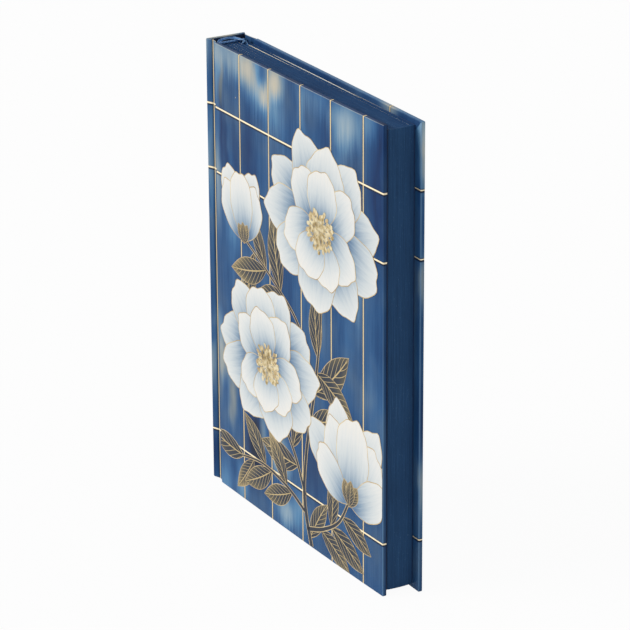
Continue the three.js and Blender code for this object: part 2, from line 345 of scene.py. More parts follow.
def fade(value, near, far, strength):
    """Full strength up to near, nothing from far on."""
    return add_node(
        "MapRange", {"interpolation_type": "SMOOTHSTEP"},
        Value=value, From_Min=near, From_Max=far, To_Min=strength, To_Max=0,
    ).outputs[0]


sheet, across, along = read_map("sheet")
# Noise pulled out along the sheet, as a wet brush leaves it: (marks for each mm across, along, detail)
broad, fine, cloudy, grain = (
    make_noise(sheet, (marks_across, marks_along, 0), Detail=detail, Roughness=0.6)
    for marks_across, marks_along, detail in (
        (0.10, 0.012, 3), (0.75, 0.03, 4), (0.035, 0.03, 2), (2.6, 2.6, 2),
    )
)
# A slow sway across the sheet and a fine drag along it turn the spots into drips
swayed, dragged = gather("ADD", across, swing(cloudy, 12.0)), gather("ADD", along, swing(fine, 9.0))
streaked = add_node("CombineXYZ", i0=swayed, i1=dragged).outputs[0]
tone = gather("ADD", swing(broad, 0.34, 0.35), swing(fine, 0.17), swing(cloudy, 0.26), swing(grain, 0.06))
warmth = gather("MAXIMUM", swing(cloudy, 1.5, 0.09), 0.0)
for x, z, half_width, half_height, strength, warm in washes:
    spot = add_node(
        "Mapping", {"vector_type": "TEXTURE"},
        i0=streaked, Location=(x, z, 0), Scale=(half_width, half_height, 1),
    ).outputs[0]
    reach = add_node("VectorMath", {"operation": "LENGTH"}, i0=spot).outputs["Value"]
    tone = gather("ADD", tone, fade(reach, 0.05, 1.55, strength))
    if warm:
        warmth = gather("ADD", warmth, fade(reach, 0.2, 1.35, warm))

# Where the sheet turns over the front board's head, its print is darkened to nearly plain navy. Along
# the inner edge of the front fore-edge and on its turn-in, beside the block, the dark is painted shadow
# of the gap between board and block. The darkest navy, inside the spine's own turn-in, is painted shade
# of the hollow between the boards. On the back cover's turn-in at the head it is a little darker than
# on its face.
over_head = fade(along, head + 0.7, head + 0.15, 1)
on_back = fade(across, -24, -22, 1)
on_spine = fade(off_line(across, -spine_width / 2), 14.8, 16, 1)
navy_and_painted_shade = gather(
    "MAXIMUM",
    gather("MULTIPLY", over_head, fade(across, 4.0, 1.0, 1), 0.66),
    fade(across, front.end + 1.7, front.end + 1.3, 0.85),
    gather("MULTIPLY", fade(along, head + 2.6, head + 2.1, 0.9), on_spine),
    gather("MULTIPLY", fade(along, head + 2.8, head + 2.1, 0.3), on_back),
)
tone, warmth = lessen(navy_and_painted_shade, tone, warmth)
colour_by(tone, [
    (0.04, "10203A"), (0.16, "0F3362"), (0.30, "1F4A79"), (0.45, "396694"),
    (0.58, "5584AB"), (0.72, "7BA0BD"), (0.86, "9DB8C6"), (1.0, "B5C6CC"),
])
beige = add_node("ValToRGB", {"stops": [
    (0.04, "1B2230"), (0.20, "303D50"), (0.40, "55636F"), (0.58, "7A868E"),
    (0.74, "9FA5A2"), (0.88, "BBB8AC"), (1.0, "C9C1AC"),
]}, Fac=tone)

# Gold foil: the level lines painted brightest, as a painted glint, the upright ones a shade browner,
# all edged by a thin painted shadow
foil_edge, foil_blur = foil_width / 2, 0.06
nearest = gather("MINIMUM", *(off_line(across, x) for x in uprights))
upright = fade(nearest, foil_edge - foil_blur, foil_edge + foil_blur, 1)
# A thin painted shadow along both sides of each upright foil line
rim = fade(nearest, foil_edge, foil_edge + 0.7, 0.7)
# On the back cover only the line nearest the fore-edge runs on over the head
stopped = gather("MULTIPLY", over_head, on_back, fade(off_line(across, uprights[-1]), 3.0, 2.0, 1))
upright, rim = lessen(stopped, upright, rim)
# The level lines are finer on the back cover's fore-edge, where the sheet is pulled tight, and their
# painted shadow lies a little below them
nearest = gather("MINIMUM", *(off_line(along, z) for z in levels))
nearest = gather("ADD", nearest, fade(across, -178.6, -177.8, 0.13))
level = fade(nearest, foil_edge - foil_blur, foil_edge + foil_blur, 1)
lowest = gather("MINIMUM", *(off_line(along, z - 0.3) for z in levels))
rim = gather("MAXIMUM", rim, fade(lowest, foil_edge + 0.1, foil_edge + 0.8, 1))
foil = gather("MAXIMUM", upright, level)

# A few specks of foil, and a pale line along the board's head and tail folds, partly wear and partly
# a painted highlight on the rounded edge
speck_spacing = 21
spots = add_node("TexVoronoi", Vector=sheet, Scale=1 / speck_spacing).outputs["Distance"]
speck = fade(spots, 0.010, 0.020, 0.7)
folds = gather("MINIMUM", off_line(along, head), off_line(along, 0.0))
fold_wear_and_highlight = gather("MULTIPLY", fade(folds, 0.04, 0.2, 0.9), swing(fine, 1.6, 0.7))

# A painted highlight makes the ink paler along the fold of both fore-edges, the front one mostly low
# down, and along the back cover's head.
painted_edge_highlight = gather(
    "MAXIMUM",
    gather("MULTIPLY", fade(off_line(across, front.end), 0.15, 0.8, 0.55), fade(along, 30, 214, 1)),
    fade(off_line(across, -spine_width - back.end - panel_depth), 0.15, 0.8, 0.55),
    gather("MULTIPLY", fade(off_line(along, head + 0.9), 0.9, 1.5, 0.5), on_back),
)

# The level lines' foil is painted paler than the uprights', as a painted glint on the same foil
gold_and_painted_glint = add_node("Mix", {"data_type": "RGBA"}, Factor=level, A=srgb("E2CDA0"), B=srgb("FFF0CC"))
# Over the print, in turn: beige, the painted edge highlight, the foil's painted shadow, specks, the fold line
# of wear and painted highlight, and the foil with its painted glint
for share, over in (
    (warmth, beige.outputs["Color"]), (painted_edge_highlight, srgb("6E95BC")), (rim, srgb("14233F")),
    (speck, srgb("D9C79A")), (fold_wear_and_highlight, srgb("D3CDB8")), (foil, gold_and_painted_glint.outputs["Result"]),
):
    tint(share, over)
tree.links.new(gather("MULTIPLY", foil, 0.5), shader.inputs["Metallic"])
emboss(grain, 0.06)


def lay_on_map(bm, name, place):
    """Gives each corner of each face its place on a map of the piece."""
    layer = bm.loops.layers.uv.new(name)
    for face in bm.faces:
        for loop in face.loops:
            loop[layer].uv = place(face, loop.vert)


def place_on_sheet(side, face, vert):
    """Where a point of the folded, still flat cover lies on the unfolded sheet."""
    x, depth, z = vert.co
    normal, centre = face.normal, face.calc_center_median()
    across, along = x, z
    if normal.y > 0.3 and depth > panel_depth / 2:
        to_edge, to_head, to_tail = side.end - centre.x, head - centre.z, centre.z
        if to_edge < min(to_head, to_tail):
            across = side.end + panel_depth + (side.end - x)
        elif to_head < to_tail:
            along = head + panel_depth + (head - z)
        else:
            along = -panel_depth - z
    elif abs(normal.z) > abs(normal.x) and abs(normal.z) > 0.05:
        along = z + depth if normal.z > 0 else z - depth
    elif abs(normal.x) > 0.05:
        across = x + depth if normal.x > 0 else x - depth
    return (-spine_width - across, along) if side.mirrored else (across, along)


skin = 0.001
for side in (front, back):
    bm = bmesh.new()
    add_box(bm, (side.start, 0, 0), (side.end, panel_depth, head))
    round_edges(bm, edge_radius, 4)
    slice_all(bm, (side.end - turn_in, 0, 0), (1, 0, 0))
    for height in (turn_in, head - turn_in):
        slice_all(bm, (0, 0, height), (0, 0, 1))
    # The paper doesn't cover the middle of the board's inner face
    window = []
    for face in bm.faces:
        x, depth, z = face.calc_center_median()
        if depth > panel_depth - skin and x < side.end - turn_in and turn_in < z < head - turn_in:
            window.append(face)
    bmesh.ops.delete(bm, geom=window, context="FACES")
    # The corners are folded to a mitre, so the print changes direction along a diagonal
    for corner, direction in ((head, (1, 0, -1)), (0, (1, 0, 1))):
        inside = [f for f in bm.faces if f.calc_center_median().y > panel_depth - skin]
        inside += list({e for f in inside for e in f.edges}) + list({v for f in inside for v in f.verts})
        diagonal = Vector(direction).normalized()
        bmesh.ops.bisect_plane(bm, geom=inside, dist=1e-5, plane_co=(side.end, 0, corner), plane_no=diagonal)
    bm.normal_update()
    lay_on_map(bm, "sheet", lambda face, vert: place_on_sheet(side, face, vert))
    side.bend(bm)
    piece = finish_piece(
        f"{side.name}_cover_wrap", bm, f"{side.name}_cover", [print_paper], [f"{side.name}_cover_paper"],
        angle=40,
    )
    thicken(piece, paper)


# Spine paper
# The same sheet over the spine board: it rounds the two shoulders, turns in at head and tail, and
# has a wing on each side that dips into the groove as far as the crease.
crease_x, crease_depth = 4.1, 1.75
shoulder = 1.1
spine_back = 2.15
slope = crease_depth / crease_x
# The sheet's cross-section: pairs of (x, y), on the outer face and on the face that is turned in
profile = [
    ((crease_x, crease_depth), (crease_x - 0.1, crease_depth + 0.24)),
    ((2.6, 2.6 * slope), (2.5, 2.6 * slope + 0.25)),
]
for i in range(7):
    t = i / 6
    rounded = (shoulder * (1 - t) ** 2, shoulder * slope * (1 - t) ** 2 + shoulder * t ** 2)
    profile.append((rounded, (spine_back, 1.25 + 0.06 * i)))
profile += [((0, y), (spine_back, y)) for y in (2.4, 5.0, 7.6, spine_width / 2)]
profile += [((ax, spine_width - ay), (bx, spine_width - by)) for (ax, ay), (bx, by) in profile[-2::-1]]

# Rows of the sheet from turn-in to turn-in: (share of the way inwards, height, place along the sheet)
rows = [
    (1, turn_in, -17.1), (1, 0.35, -2.5), (0.86, 0.08, -2.0), (0.5, 0, -1.2), (0.14, 0.08, -0.4),
    (0, 0.35, 0.35),
]
rows += [(0, z, z) for z in (36, 72, 108)]
rows += [(share, head - z, head - place) for share, z, place in rows[-2::-1]]
unrolled = spine_width + 2 * crease_x


def run_along(points):
    """How far along a line each of its points lies."""
    run = [0.0]
    for here, there in zip(points, points[1:]):
        run.append(run[-1] + math.dist(here, there))
    return run


def add_sheet(bm, columns, rows):
    """A grid of faces, as {vert: (column, row)}."""
    grid = bmesh.ops.create_grid(bm, x_segments=columns, y_segments=rows, size=0.5)["verts"]
    return {vert: (round((vert.co.x + 0.5) * columns), round((vert.co.y + 0.5) * rows)) for vert in grid}


lengths = run_along([outer for outer, _ in profile])
bm = bmesh.new()
cells = add_sheet(bm, len(profile) - 1, len(rows) - 1)
lay_on_map(bm, "sheet", lambda face, vert: (
    crease_x - lengths[cells[vert][0]] * unrolled / lengths[-1], rows[cells[vert][1]][2]
))
for vert, (column, row) in cells.items():
    (ax, ay), (bx, by) = profile[column]
    share, z, _ = rows[row]
    vert.co = Vector((ax + (bx - ax) * share, ay + (by - ay) * share, z))
bmesh.ops.reverse_faces(bm, faces=bm.faces[:])
piece = finish_piece("spine_wrap", bm, "spine", [print_paper], ["spine_cover_paper"], angle=50)
thicken(piece, paper)


# Joint strips
# The stretch of cover paper between the crease and the board, pressed into the groove with a hot
# iron. It folds along both of its edges, each a thin roll of paper on the hinge line.
hinge_rise, sag = 0.8, 0.16
for side in (front, back):
    fold = Vector((crease_x, crease_depth, 0))
    hinge = Vector((side.start - 0.1, crease_depth - hinge_rise, 0))
    bm = bmesh.new()
    points = []
    for i in range(9):
        point = fold.lerp(hinge, i / 8)
        point.y += sag * math.sin(math.pi * i / 8)
        points.append(bm.verts.new(point))
    edges = [bm.edges.new(pair) for pair in zip(points, points[1:])]
    raised = bmesh.ops.extrude_edge_only(bm, edges=edges)["geom"]
    bmesh.ops.translate(bm, vec=(0, 0, head), verts=[v for v in raised if isinstance(v, bmesh.types.BMVert)])
    bm.normal_update()
    if bm.faces[:][0].normal.y > 0:
        bmesh.ops.reverse_faces(bm, faces=bm.faces[:])
    bmesh.ops.solidify(bm, geom=bm.faces[:], thickness=paper)
    for point in (fold, hinge):
        bmesh.ops.create_cone(
            bm, cap_ends=True, segments=12, radius1=paper / 2, radius2=paper / 2, depth=head,
            matrix=Matrix.Translation(point + Vector((0, paper / 2, head / 2))),
        )
    lay_on_map(
        bm, "sheet", lambda face, vert: (-spine_width - vert.co.x if side.mirrored else vert.co.x, vert.co.z)
    )
    if side.mirrored:
        for vert in bm.verts:
            vert.co.y = spine_width - vert.co.y
        bmesh.ops.reverse_faces(bm, faces=bm.faces[:])
    finish_piece(
        f"{side.name}_groove", bm, f"{side.name}_joint", [print_paper], [f"{side.name}_joint_strip"],
    )


# Printed picture
# A generic spray of magnolias on the front cover, printed in opaque white over the washes. A thin
# line of gold foil is stamped round each petal and leaf; every shape lies a hair above the last.
ink_step, lowest_ink = 0.01, 0.03
sketch = random.Random(7)

# Opaque white ink: chalky, bluish where it is printed thin at the foot of a petal
petal_ink, tree, shader = start_material("opaque_white_ink", Roughness=0.55, Specular_IOR_Level=0.3)
_, from_middle, outwards = read_map("petal")
strokes = add_node("CombineXYZ", i0=gather("MULTIPLY", from_middle, 5.0), i1=outwards).outputs[0]
soft, veins = make_noise(strokes, Scale=1.6, Detail=2), make_noise(strokes, Scale=9, Detail=3)
sides = gather("POWER", off_line(from_middle, 0.0), 2.0)
coverage = gather("ADD", outwards, swing(soft, 0.34), swing(veins, 0.12), swing(sides, 0.16, 0.03))
colour_by(coverage, [
    (0.0, "5F7C9C"), (0.16, "90A5B8"), (0.34, "BAC6CE"), (0.54, "D5DBDC"), (0.76, "E6E7E4"), (1.0, "EFECE5"),
])

# Stamped gold foil: a warm, slightly brushed metal
gold, tree, shader = start_material("stamped_gold_foil", Metallic=0.5, Roughness=0.4)
colour_by_noise([(0.30, "B0966A"), (0.5, "CDB485"), (0.7, "E6D3A6")], Scale=130, Detail=3)

# Leaf ink: dark blue-black in the middle, bronze towards the rim, with stamped gold veins
leaf_ink, tree, shader = start_material("bronze_leaf_ink", Roughness=0.5, Specular_IOR_Level=0.3)
_, from_middle, outwards = read_map("petal")
from_rib = off_line(from_middle, 0.0)
bronzed = gather("ADD", gather("MULTIPLY", from_rib, 0.32), gather("MULTIPLY", outwards, 0.70))
colour_by(bronzed, [(0.10, "17202E"), (0.46, "28303D"), (0.72, "5C5647"), (1.0, "B09B6F")])
along_rib = gather("SUBTRACT", gather("MULTIPLY", outwards, 8.0), gather("MULTIPLY", from_rib, 2.2))
between_veins = add_node("Math", {"operation": "FRACT"}, i0=along_rib).outputs[0]
veined = gather("MAXIMUM", fade(off_line(between_veins, 0.5), 0.03, 0.08, 0.9), fade(from_rib, 0.03, 0.07, 1))
tint(veined, srgb("CDB684"))
tree.links.new(gather("MULTIPLY", veined, 0.5), shader.inputs["Metallic"])

# Pollen ink: matt cream and old gold, in small dabs
pollen_ink, tree, shader = start_material("pollen_cream_ink", Roughness=0.6, Specular_IOR_Level=0.2)
colour_by_noise([(0.34, "A38C5F"), (0.46, "D2BD8E"), (0.62, "EBDDB8")], Scale=420, Detail=2)

inks = [petal_ink, gold, leaf_ink, pollen_ink]


def ink_faces(bm, places, ink):
    """Prints a shape's faces in one ink, and puts each of its points at its place on the map."""
    layer = bm.loops.layers.uv.verify()
    for face in {face for vert in places for face in vert.link_faces}:
        face.material_index = inks.index(ink)
        for loop in face.loops:
            loop[layer].uv = places[loop.vert]


def lay_blade(bm, root, angle, length, width, lift, ink, foot=0.3, tip=0.1, swell=0.85, bend=0.0,
              ruffle=0.0, tones=(0.0, 1.0), fineness=(10, 14)):
    """A rounded blade in one ink, from its root, turned clockwise from upright."""
    grid = bmesh.ops.create_grid(bm, x_segments=fineness[0], y_segments=fineness[1], size=1)["verts"]
    turn = math.radians(angle)
    places = {}
    for vert in grid:
        a, b = vert.co.x, vert.co.y
        a, b = a * math.sqrt(1 - b * b / 2), b * math.sqrt(1 - a * a / 2)
        round_edge = math.atan2(a, b + 0.001)
        wave = math.sin(4 * round_edge + angle) + 0.5 * math.sin(9 * round_edge + angle)
        ripple = 1 + ruffle * wave * (a * a + b * b)
        taper = max(0.0, 1 - b * b) ** (foot if b < 0 else tip)
        share = ((b + 1) / 2) ** swell
        places[vert] = (a, tones[0] + (tones[1] - tones[0]) * share)
        x = a * taper * ripple * width / 2 + bend * length * share * share
        z = share * ripple * length
        vert.co = Vector((
            root[0] + x * math.cos(turn) + z * math.sin(turn), -lift,
            root[1] - x * math.sin(turn) + z * math.cos(turn),
        ))
    ink_faces(bm, places, ink)


def lay_shape(bm, root, angle, length, width, lift, rim=0.42, ink=petal_ink, **form):
    """One printed petal or leaf over a slightly larger one of gold, which leaves a thin gold rim."""
    lay_blade(bm, root, angle, length, width, lift, gold, **form)
    turn = math.radians(angle)
    root = (root[0] + rim * math.sin(turn), root[1] + rim * math.cos(turn))
    lay_blade(bm, root, angle, length - 2 * rim, width - 2 * rim, lift + ink_step / 2, ink, **form)


def smooth_path(stations, steps):
    """Points on a smooth curve through the stations."""
    points = []
    for i in range(len(stations) - 1):
        before, after = stations[max(i - 1, 0)], stations[min(i + 2, len(stations) - 1)]
        for k in range(steps):
            t = k / steps
            points.append([
                b + (c - a) * t / 2 + (a - 2.5 * b + 2 * c - d / 2) * t ** 2
                + (1.5 * (b - c) + (d - a) / 2) * t ** 3
                for a, b, c, d in zip(before, stations[i], stations[i + 1], after)
            ])
    return points + [list(stations[-1])]


def heading_at(path, row, measures):
    """Which way a path runs at a row, in its first two or three measures."""
    ahead, behind = path[min(row + 1, len(path) - 1)], path[max(row - 1, 0)]
    return (Vector(ahead[:measures]) - Vector(behind[:measures])).normalized()


def lay_twig(bm, path, lift):
    """A tapering twig along (x, z, width) points: a strip of gold under a narrower one of dark ink."""
    for ink, narrower, height in ((gold, 0, lift), (leaf_ink, 0.7, lift + ink_step / 2)):
        cells = add_sheet(bm, 1, len(path) - 1)
        ink_faces(bm, dict.fromkeys(cells, (0.5, 0.26)), ink)
        for vert, (edge, row) in cells.items():
            x, z, width = path[row]
            heading = heading_at(path, row, 2)
            side_step = (edge - 0.5) * (width - narrower)
            vert.co = Vector((x + heading.y * side_step, -height, z - heading.x * side_step))


def print_on_cover(name, bm):
    """Trims a finished drawing to the front cover and lays it on the bowed board."""
    margin = 0.4
    low, high = (front.start + margin, 0, margin), (front.end - margin, 0, head - margin)
    for point, outside in ((low, (-1, 0, 0)), (high, (1, 0, 0)), (low, (0, 0, -1)), (high, (0, 0, 1))):
        slice_all(bm, point, outside, clear_outer=True)
    for vert in bm.verts:
        vert.co.y = front.y(vert.co.x, 0) + vert.co.y
    piece = finish_piece(name, bm, "front_cover", inks, smooth=False)
    thicken(piece, ink_step).use_even_offset = False


# Twigs and leaves lie lowest. Each twig has its (x, z, width) stations and its leaves: (share of the
# way along, angle off the twig, length, bend).
sprays = [
    ([(94, 0.5, 3.4), (88, 22, 3.0), (90, 46, 2.6), (97, 76, 2.3), (102, 104, 2.0), (104, 128, 1.8)],
     [(0.04, 48, 27, 0.1), (0.62, 44, 40, -0.14), (0.70, 96, 34, 0.12), (0.74, -20, 30, 0.1),
      (0.50, 52, 32, 0.1)]),
    ([(89, 24, 2.4), (80, 40, 2.1), (70, 52, 1.9), (60, 62, 1.7)],
     [(0.25, -64, 34, 0.12), (0.42, 62, 26, -0.1)]),
    ([(90, 8, 2.6), (104, 13, 2.3), (118, 22, 2.0), (127, 36, 1.8)],
     [(0.30, 44, 28, 0.12), (0.52, 50, 30, 0.12), (0.50, -48, 26, -0.1), (0.78, 74, 26, 0.1)]),
    ([(97, 80, 2.2), (84, 104, 1.9), (62, 118, 1.7), (36, 130, 1.5)],
     [(0.52, -32, 30, -0.12), (0.60, 44, 36, 0.14), (0.78, -46, 34, 0.12), (0.92, -100, 30, 0.12),
      (0.80, 30, 26, 0.1)]),
    ([(88, 16, 2.4), (72, 22, 2.0), (50, 25, 1.7), (30, 22, 1.4)],
     [(0.24, -46, 28, 0.12), (0.36, 46, 27, -0.1), (0.56, -42, 30, 0.12), (0.66, 50, 28, -0.12),
      (0.84, -46, 26, 0.1), (0.98, 8, 30, 0.12)]),
]
bm = bmesh.new()
bm.loops.layers.uv.new("petal")
for stations, leaves in sprays:
    path = smooth_path(stations, 8)
    for number, (share, off, length, bend) in enumerate(leaves):
        row = round(share * (len(path) - 2))
        heading = Vector((path[row + 1][0] - path[row][0], path[row + 1][1] - path[row][1]))
        lay_shape(
            bm, path[row][:2], math.degrees(math.atan2(heading.x, heading.y)) + off, length, length * 0.38,
            lowest_ink + ink_step * (1 + number % 3), rim=0.3, foot=0.4, tip=0.62, swell=1.0, bend=bend,
            tones=(0.0, sketch.uniform(0.7, 1.25)), ink=leaf_ink, fineness=(8, 16),
        )
    lay_twig(bm, path, lowest_ink + ink_step * 4)
print_on_cover("printed_twigs_and_leaves", bm)


golden_angle = 137.5


def lay_blossom(name, x, z, size, tilt, petals, stamens=0, squat=1.0):
    """A blossom from its back petals to its front ones, seen a little from one side, then its middle."""
    bm = bmesh.new()
    bm.loops.layers.uv.new("petal")
    lift = lowest_ink + ink_step * 6
    for angle, length, width, bend, tones in petals:
        lay_shape(
            bm, (x, z), angle + tilt, length * size, width * size, lift, foot=0.22, tip=0.06, swell=0.8,
            bend=bend, ruffle=0.024, tones=tones,
        )
        lift += ink_step
    for number in range(stamens):
        angle = number * golden_angle
        reach = size * (0.03 + 0.20 * math.sqrt((number + 1) / stamens)) * sketch.uniform(0.85, 1.12)
        turn = math.radians(angle)
        lift += ink_step / 8
        lay_blade(
            bm, (x, z), angle, reach, 0.3, lift + ink_step / 2, pollen_ink, foot=0, tip=0, swell=1,
            fineness=(1, 2),
        )
        pollen_at = (x + reach * 0.84 * math.sin(turn), z + reach * 0.84 * math.cos(turn))
        lay_blade(
            bm, pollen_at, angle + sketch.uniform(-50, 50), sketch.uniform(2.5, 3.8),
            sketch.uniform(1.7, 2.5), lift + ink_step * 9 / 16, gold if number % 5 == 0 else pollen_ink,
            foot=0, swell=1, fineness=(3, 4),
        )
    if not stamens:
        for angle in (-26, 24, 0):
            lay_shape(
                bm, (x, z - 0.03 * size), angle + tilt, 0.30 * size, 0.17 * size, lift, rim=0.26,
                ink=leaf_ink, tip=0.5, tones=(0.2, 1.1), fineness=(6, 8),
            )
            lift += ink_step
    for vert in bm.verts:
        vert.co.z = z + (vert.co.z - z) * squat
    print_on_cover(name, bm)


# (angle, length, width, bend, (tone at the foot, tone at the tip))
open_petals = [
    (-64, 0.98, 0.60, -0.06, (-0.9, 0.78)), (62, 0.98, 0.62, 0.06, (-0.9, 0.74)),
    (-24, 1.02, 0.60, -0.05, (-0.8, 0.84)), (26, 1.00, 0.62, 0.05, (-0.8, 0.86)),
    (-100, 0.98, 0.60, 0.05, (-0.7, 0.84)), (98, 0.99, 0.62, -0.04, (-0.7, 0.80)),
    (0, 0.92, 0.64, 0.02, (-0.6, 0.94)), (138, 0.92, 0.60, -0.06, (-0.7, 0.82)),
    (-136, 0.90, 0.60, 0.06, (-0.7, 0.84)), (178, 0.88, 0.66, 0.02, (-0.6, 0.90)),
    (-48, 0.70, 0.50, 0.08, (-0.4, 0.96)), (46, 0.72, 0.52, -0.08, (-0.4, 0.98)),
    (-2, 0.66, 0.52, -0.02, (-0.2, 1.04)), (-112, 0.66, 0.50, -0.06, (-0.3, 0.98)),
    (108, 0.66, 0.50, 0.06, (-0.3, 0.98)), (158, 0.60, 0.50, -0.04, (-0.1, 1.06)),
    (-160, 0.60, 0.50, 0.04, (-0.1, 1.06)),
]
cup_petals = [
    (-50, 1.0, 0.52, -0.10, (-0.3, 0.72)), (46, 1.0, 0.54, 0.10, (-0.3, 0.72)),
    (-18, 1.08, 0.56, -0.04, (-0.4, 0.88)), (20, 1.06, 0.56, 0.04, (-0.4, 0.86)),
    (-36, 0.90, 0.52, 0.10, (-0.2, 0.94)), (36, 0.88, 0.54, -0.10, (-0.2, 0.94)),
    (0, 0.96, 0.62, 0.0, (-0.1, 1.08)), (-70, 0.74, 0.44, 0.14, (-0.1, 0.98)),
    (66, 0.74, 0.44, -0.14, (-0.1, 0.98)),
]
lay_blossom("printed_blossom_high", 103, 154, 49, 8, open_petals, stamens=84, squat=0.88)
lay_blossom("printed_blossom_low", 56, 76, 46, -14, open_petals, stamens=78, squat=0.86)
lay_blossom("printed_blossom_side", 127, 34, 44, 6, cup_petals)
lay_blossom("printed_bud", 35, 129, 34, -8, cup_petals[2:7])


# Mull and spine lining
# Open cotton gauze, stiffened with starch, is glued over the folds and on to both boards. A strip of
# brown kraft paper lines the spine over it.

# Starched gauze: pale threads crossing over darker gaps, quite matt
mull, tree, shader = start_material("starched_mull_gauze", Roughness=0.95)
place = add_node("TexCoord").outputs["Object"]
weave = gather("MAXIMUM", *(
    add_node(
        "TexWave", {"bands_direction": axis, "wave_profile": "SIN"}, Vector=place, Scale=220, Distortion=0.4
    ).outputs["Fac"]
    for axis in ("X", "Z")
))
colour_by(weave, [(0.35, "8C8470"), (0.7, "DDD6C3"), (1.0, "EFEADB")])
dress("spine_mull", mull)

flap_width, flap_depth, flap_thickness = 22.0, 1.875, 0.12
for side in (front, back):
    bm = bmesh.new()
    first = side.start + board_inset
    add_box(
        bm, (first + 0.3, flap_depth, turn_in + 1),
        (first + flap_width, flap_depth + flap_thickness, head - turn_in - 1),
    )
    side.bend(bm)
    finish_piece(
        f"{side.name}_mull_hinge", bm, f"{side.name}_cover", [mull], [f"{side.name}_mull_flap"]
    )

# Brown kraft paper: long fibres that run up the spine, with a dull surface
kraft, tree, shader = start_material("brown_kraft_paper", Roughness=0.85)
colour_by_noise([(0.3, "8F7850"), (0.55, "B39A72"), (0.75, "C4AD86")], stretch=(400, 400, 60), Detail=4)
dress("spine_lining", kraft)


# Endpapers
# Navy paper, dyed on its faces only, so that its cut edges keep a thin pale core. One half of each is
# pasted down over the turn-ins, the other is the flyleaf.

# Dyed paper: deep navy with a faint cloud of fibres, matt and a little rough
endpaper, tree, shader = start_material("dyed_navy_endpaper", Roughness=0.8)
colour_by_noise(
    [(0.3, "1F3963"), (0.5, "27467A"), (0.7, "315489")], raised=0.15, Scale=700, Detail=5, Roughness=0.6
)


def along_page(place, low, high, most=1.0):
    """Rises from nothing at one place from spine to fore-edge to the most at another."""
    x = add_node("SeparateXYZ", i0=place).outputs["X"]
    low, high = ((at - case_width / 2) / 1000 for at in (low, high))
    return add_node("MapRange", Value=x, From_Min=low, From_Max=high, To_Max=most).outputs[0]


# Its undyed core: a pale line on the cut edges, navy towards the spine; towards the fore-edge its
# navy is painted shade of the gap between the board's edge and the block
core_edge, tree, shader = start_material("undyed_paper_core_and_painted_shade", Roughness=0.85)
place = add_node("TexCoord").outputs["Object"]
colour_by(along_page(place, 0, case_width), [
    (0.03, "2A4673"), (0.20, "5F7691"), (0.30, "D8D3C6"), (0.72, "CFCBC0"), (0.84, "4A648A"),
    (0.95, "24406C"),
])
# The front leaf's edges took up the dye when the block's head was dyed
tint(gather("LESS_THAN", add_node("SeparateXYZ", i0=place).outputs["Y"], 0.0), srgb("24406C"))

leaf_bottom, leaf_height = 2.5, 211.0
leaf_top = leaf_bottom + leaf_height
endpaper_thickness = 0.15
pastedown_depth, pastedown_short = 2.15, 5
flyleaf_start, flyleaf_end, flyleaf_depth = 7.75, 153.2, 2.45


def endpaper_half(side, name, body, x0, x1, depth, replaced):
    """A flat half of an endpaper that follows the board's bow, with its pale core on the cut edges."""
    bm = bmesh.new()
    add_box(bm, (x0, depth, leaf_bottom), (x1, depth + endpaper_thickness, leaf_top))
    for face in bm.faces:
        face.material_index = int(abs(face.normal.y) < 0.5)
    side.bend(bm)
    finish_piece(
        f"{side.name}_{name}", bm, f"{side.name}_{body}", [endpaper, core_edge], [f"{side.name}_{replaced}"],
        smooth=False,
    )


for side in (front, back):
    pasted = side.start + 0.2, side.end - pastedown_short
    endpaper_half(side, "pasted_leaf", "cover", *pasted, pastedown_depth, "pastedown")
    endpaper_half(side, "free_leaf", "leaf", flyleaf_start, flyleaf_end, flyleaf_depth, "flyleaf")


# Text block
# Eight sewn signatures of cream paper, trimmed together and dyed navy on all three edges. Each is
# drawn as small bundles of leaves that end a few hundredths of a millimetre apart.

# Uncoated writing paper: warm white, matt, with a faint cloud of fibres; the edge dye has crept a
# hair's breadth over the faces at the fore-edge
page_face, tree, shader = start_material("cream_writing_paper", Roughness=0.85)
place = colour_by_noise([(0.3, "EAE3D0"), (0.6, "F2ECDC"), (0.8, "F6F1E4")], Scale=500, Detail=5)
tint(along_page(place, 152.4, 153.2), srgb("1E3554"))

# Dyed edges: navy that soaks in leaf by leaf, so fine lines and a few pale flecks run along the pages
dyed_edge, tree, shader = start_material("dyed_page_edges_and_painted_light", Roughness=0.75, Specular_IOR_Level=0.1)
place = add_node("TexCoord").outputs["Object"]
leaves_seen = make_noise(place, (40, 4200, 40), Detail=4, Roughness=0.7)
cloud = make_noise(place, Scale=30, Detail=3)
flecks = make_noise(place, (900, 5200, 700), Detail=1)
flecks = add_node("MapRange", Value=flecks, From_Min=0.66, From_Max=0.78, To_Max=0.25).outputs[0]
colour_by(
    gather("ADD", gather("MULTIPLY", cloud, 0.3), leaves_seen, flecks),
    [(0.40, "173256"), (0.62, "21446F"), (0.80, "2B5482"), (0.94, "5A7F9E")],
)
# Painted light: the fore-edge's navy is made a little greyer and paler than the head's, standing in
# for light the fore-edge doesn't get
tint(along_page(place, 152.0, 152.8, 0.17), srgb("4A6C8A"))
emboss(leaves_seen, 0.25)

block_depth = 2.75
block_x = 5.9
fore_x = block_x + 147.9
bulge = 0.5
signature_gap, pinched_for = 0.06, 30
signatures, bundles = 8, 9
uneven = 0.06
marker_gap, fold_end = 0.4, 7
jitter = random.Random(41)


def marker_room(x):
    """How far the ribbon holds the last two signatures apart; the gap closes towards the fore-edge."""
    return marker_gap * max(0.08, min(1.0, (50 - x) / 36))


def block_y(x, share):
    """The y of a leaf at its share of the block's thickness; the block follows both boards."""
    low, high = front.y(x, block_depth), back.y(x, block_depth) - marker_room(x)
    return low + (high - low) * share


